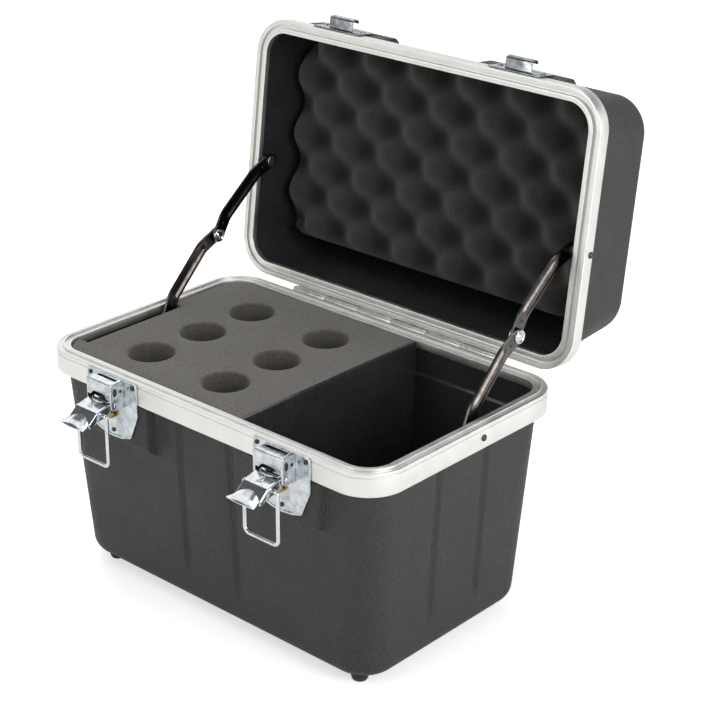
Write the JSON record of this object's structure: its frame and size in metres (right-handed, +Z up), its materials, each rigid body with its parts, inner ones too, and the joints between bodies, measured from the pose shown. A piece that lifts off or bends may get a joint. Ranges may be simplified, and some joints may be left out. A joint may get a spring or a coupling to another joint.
{
  "type": "microphone case",
  "caption": "Moulded carrying case with foam drops for hand-held microphones, a storage well, a hinged lid on folding stays and two lever latches.",
  "frame": {"origin": "centre of the plane that the four feet stand on", "axes": "+X to the case's right end as seen from the front, -Y out of the front wall with the latches, +Z up"},
  "size_m": [0.3634, 0.3926, 0.4289],
  "materials": {
    "shell": "matte",
    "smooth_plastic": "satin",
    "valance": "satin",
    "plated_steel": "gloss",
    "brass": "satin",
    "foam": "matte",
    "rubber": "matte"
  },
  "bodies": {
    "base": {"base_shell": "shell", "base_valance": "valance", "divider_panel": "smooth_plastic", "foam_block": "foam", "foot_front_left": "rubber", "foot_front_right": "rubber", "foot_rear_left": "rubber", "foot_rear_right": "rubber", "foot_screw_front_left": "plated_steel", "foot_screw_front_right": "plated_steel", "foot_screw_rear_left": "plated_steel", "foot_screw_rear_right": "plated_steel", "hinge_base_leaf": "plated_steel", "hinge_pin": "plated_steel", "stay_foot_rivet_left": "plated_steel", "stay_foot_rivet_right": "plated_steel", "latch_plate_left": "plated_steel", "latch_plate_right": "plated_steel", "lever_pin_left": "plated_steel", "lever_pin_right": "plated_steel", "latch_post_left": "brass", "latch_post_right": "brass"},
    "lid": {"lid_shell": "shell", "lid_valance": "valance", "lid_foam": "foam", "hinge_lid_leaf": "plated_steel", "lid_catch_left": "plated_steel", "lid_catch_right": "plated_steel", "stay_lid_rivet_left": "plated_steel", "stay_lid_rivet_right": "plated_steel", "handle_bracket_left": "smooth_plastic", "handle_bracket_right": "smooth_plastic", "handle_pin_left": "plated_steel", "handle_pin_right": "plated_steel"},
    "handle": {"handle_grip": "smooth_plastic"},
    "lower_arm_left": {"stay_lower_left": "plated_steel", "stay_elbow_rivet_left": "plated_steel"},
    "lower_arm_right": {"stay_lower_right": "plated_steel", "stay_elbow_rivet_right": "plated_steel"},
    "upper_arm_left": {"stay_upper_left": "plated_steel", "stay_end_rivet_left": "plated_steel"},
    "upper_arm_right": {"stay_upper_right": "plated_steel", "stay_end_rivet_right": "plated_steel"},
    "lever_left": {"latch_lever_left": "plated_steel"},
    "lever_right": {"latch_lever_right": "plated_steel"},
    "bail_left": {"latch_bail_left": "plated_steel"},
    "bail_right": {"latch_bail_right": "plated_steel"},
    "key_left": {"key_plug_left": "plated_steel"},
    "key_right": {"key_plug_right": "plated_steel"}
  },
  "joints": [
    {"name": "lid_hinge", "type": "hinge", "parent": "base", "child": "lid", "pos_m": [0, 0.115, 0.1944], "axis": [-1, 0, 0], "range_deg": [-97.4, 0]},
    {"name": "handle_hinge", "type": "hinge", "parent": "lid", "child": "handle", "pos_m": [0, 0.23037, 0.29538], "axis": [1, 0, 0], "range_deg": [-7.4, 172.6]},
    {"name": "stay_foot_left", "type": "hinge", "parent": "base", "child": "lower_arm_left", "pos_m": [-0.1637, 0.0125, 0.185], "axis": [-1, 0, 0], "range_deg": [-127.42, 0]},
    {"name": "stay_foot_right", "type": "hinge", "parent": "base", "child": "lower_arm_right", "pos_m": [0.1637, 0.0125, 0.185], "axis": [-1, 0, 0], "range_deg": [-127.42, 0]},
    {"name": "stay_elbow_left", "type": "hinge", "parent": "lower_arm_left", "child": "upper_arm_left", "pos_m": [-0.1609, 0.07136, 0.24337], "axis": [-1, 0, 0], "range_deg": [0, 160.8]},
    {"name": "stay_elbow_right", "type": "hinge", "parent": "lower_arm_right", "child": "upper_arm_right", "pos_m": [0.1609, 0.07136, 0.24337], "axis": [-1, 0, 0], "range_deg": [0, 160.8]},
    {"name": "lever_left", "type": "hinge", "parent": "base", "child": "lever_left", "pos_m": [-0.0925, -0.1215, 0.1755], "axis": [-1, 0, 0], "range_deg": [-76, 0]},
    {"name": "lever_right", "type": "hinge", "parent": "base", "child": "lever_right", "pos_m": [0.0925, -0.1215, 0.1755], "axis": [-1, 0, 0], "range_deg": [-76, 0]},
    {"name": "bail_left", "type": "hinge", "parent": "lever_left", "child": "bail_left", "pos_m": [-0.0925, -0.13399, 0.17063], "axis": [-1, 0, 0], "range_deg": [0, 258.13]},
    {"name": "bail_right", "type": "hinge", "parent": "lever_right", "child": "bail_right", "pos_m": [0.0925, -0.13399, 0.17063], "axis": [-1, 0, 0], "range_deg": [0, 258.13]},
    {"name": "key_left", "type": "hinge", "parent": "lever_left", "child": "key_left", "pos_m": [-0.0925, -0.13295, 0.17264], "axis": [0, -0.2419, 0.9703], "range_deg": [0, 90]},
    {"name": "key_right", "type": "hinge", "parent": "lever_right", "child": "key_right", "pos_m": [0.0925, -0.13295, 0.17264], "axis": [0, -0.2419, 0.9703], "range_deg": [0, 90]}
  ],
  "couplings": [
    {"joint": "stay_foot_left", "follows": "lid_hinge", "ratio": 1.3081},
    {"joint": "stay_foot_right", "follows": "lid_hinge", "ratio": 1.3081},
    {"joint": "stay_elbow_left", "follows": "lid_hinge", "ratio": -1.6509},
    {"joint": "stay_elbow_right", "follows": "lid_hinge", "ratio": -1.6509},
    {"joint": "bail_left", "follows": "lever_left", "ratio": -3.3963},
    {"joint": "bail_right", "follows": "lever_right", "ratio": -3.3963}
  ]
}
